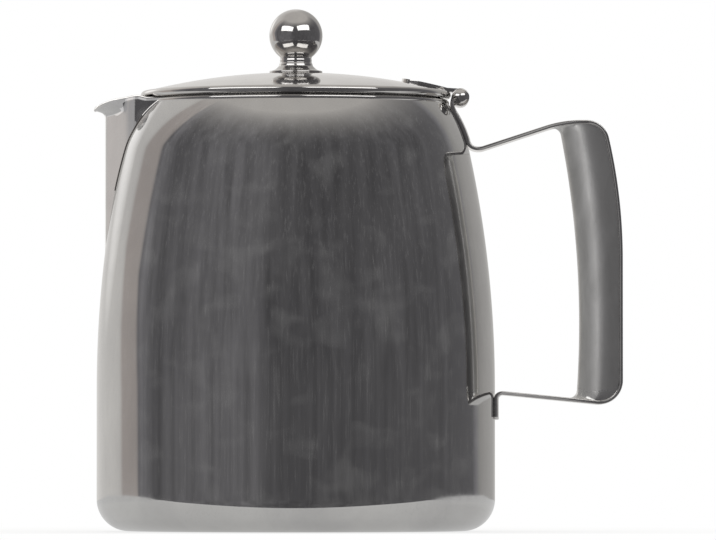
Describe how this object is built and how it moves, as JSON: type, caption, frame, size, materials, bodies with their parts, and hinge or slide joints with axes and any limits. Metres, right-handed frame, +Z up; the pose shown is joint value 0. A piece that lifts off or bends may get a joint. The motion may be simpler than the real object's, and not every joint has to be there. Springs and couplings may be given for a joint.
{
  "type": "hot water jug",
  "caption": "Polished steel hot water jug: bell-shaped body, folded pouring spout, hinged dome lid with a ball knob, and a strap handle with a hollow grip.",
  "frame": {"origin": "centre of the flat base, on the jug's axis", "axes": "+Z up the jug's axis, +X towards the handle, spout towards -X, Y across the jug"},
  "size_m": [0.1659, 0.125, 0.1638],
  "materials": {
    "polished_steel": "mirror-polished stainless steel",
    "satin_steel": "satin stainless steel"
  },
  "bodies": {
    "jug": {"body": "polished_steel", "spout": "polished_steel", "handle_strap": "polished_steel", "grip_shell": "satin_steel", "hinge_pin": "polished_steel"},
    "lid_assembly": {"lid": "polished_steel", "lid_collar": "satin_steel", "lid_tongue": "polished_steel", "knob": "polished_steel", "knob_washer": "satin_steel", "knob_screw": "satin_steel"}
  },
  "joints": [
    {"name": "lid_hinge", "type": "hinge", "parent": "jug", "child": "lid_assembly", "pos_m": [0.0516, 0, 0.1359], "axis": [0, 1, 0], "range_deg": [0, 100]}
  ]
}
